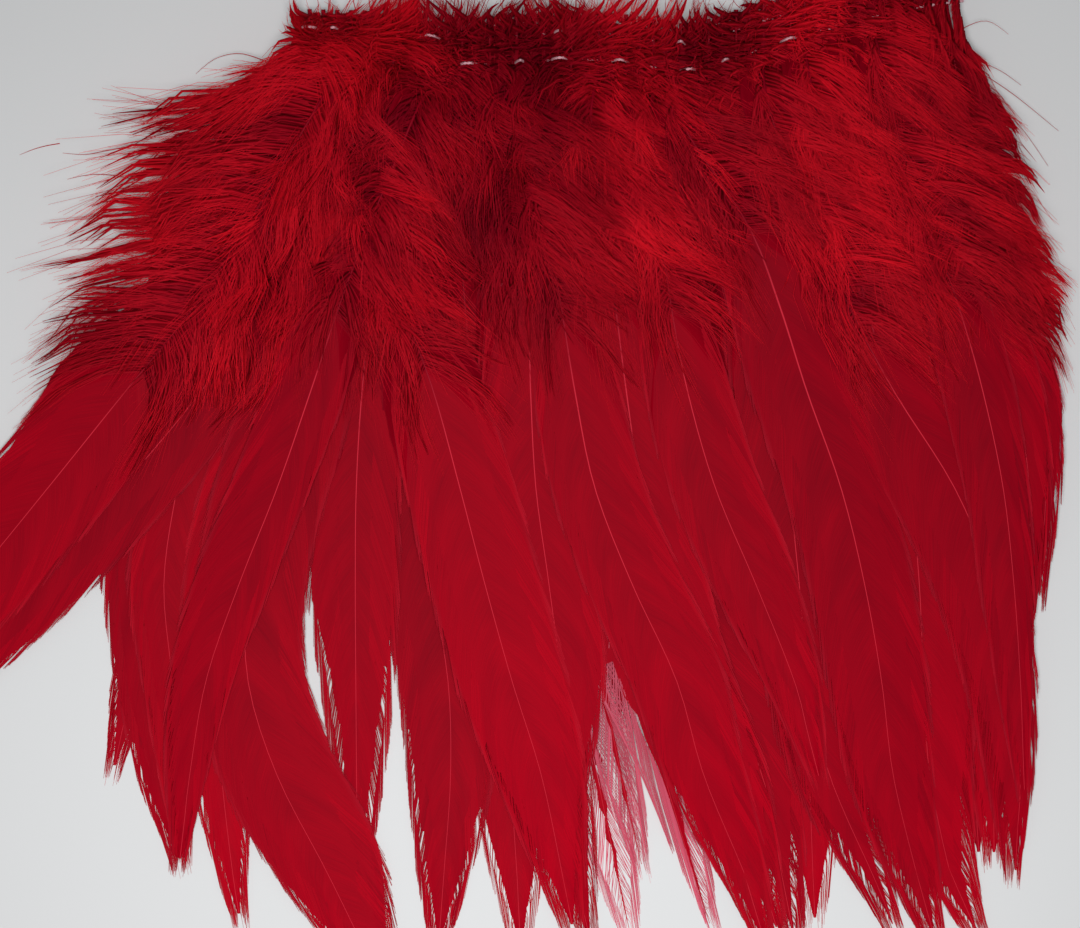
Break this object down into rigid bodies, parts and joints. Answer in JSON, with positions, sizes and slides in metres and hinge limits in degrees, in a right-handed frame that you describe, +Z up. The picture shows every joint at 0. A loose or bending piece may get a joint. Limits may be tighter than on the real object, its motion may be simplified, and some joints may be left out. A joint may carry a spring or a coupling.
{
  "type": "strung rooster saddle hackle",
  "caption": "Dyed rooster saddle feathers sewn side by side at the quills into a short strip, fanned out flat, with downy bases and long pointed vanes.",
  "frame": {"origin": "middle of the surface that the strip lies on, under the middle of its outline", "axes": "+X along the sewn quills, +Y from the tips to the quills, +Z up from the surface"},
  "size_m": [0.2094, 0.173, 0.012],
  "materials": {
    "dyed_feather": "dyed red feather keratin, soft sheen on the vanes, matt down",
    "sewing_thread": "white spun cotton thread, matt"
  },
  "bodies": {
    "root": {"feather_01": "dyed_feather", "feather_02": "dyed_feather", "feather_03": "dyed_feather", "feather_04": "dyed_feather", "feather_05": "dyed_feather", "feather_06": "dyed_feather", "feather_07": "dyed_feather", "feather_08": "dyed_feather", "feather_09": "dyed_feather", "feather_10": "dyed_feather", "feather_11": "dyed_feather", "feather_12": "dyed_feather", "feather_13": "dyed_feather", "feather_14": "dyed_feather", "feather_15": "dyed_feather", "feather_16": "dyed_feather", "feather_17": "dyed_feather", "feather_18": "dyed_feather", "feather_19": "dyed_feather", "feather_20": "dyed_feather", "feather_21": "dyed_feather", "feather_22": "dyed_feather", "feather_23": "dyed_feather", "feather_24": "dyed_feather", "feather_25": "dyed_feather", "feather_26": "dyed_feather", "feather_27": "dyed_feather", "feather_28": "dyed_feather", "feather_29": "dyed_feather", "feather_30": "dyed_feather", "feather_31": "dyed_feather", "feather_32": "dyed_feather", "feather_33": "dyed_feather", "feather_34": "dyed_feather", "feather_35": "dyed_feather", "feather_36": "dyed_feather", "feather_37": "dyed_feather", "feather_38": "dyed_feather", "feather_39": "dyed_feather", "feather_40": "dyed_feather", "feather_41": "dyed_feather", "feather_42": "dyed_feather", "feather_43": "dyed_feather", "feather_44": "dyed_feather", "feather_45": "dyed_feather", "feather_46": "dyed_feather", "feather_47": "dyed_feather", "feather_48": "dyed_feather", "upper_seam_needle_thread": "sewing_thread", "upper_seam_bobbin_thread": "sewing_thread", "lower_seam_needle_thread": "sewing_thread", "lower_seam_bobbin_thread": "sewing_thread"}
  },
  "joints": []
}
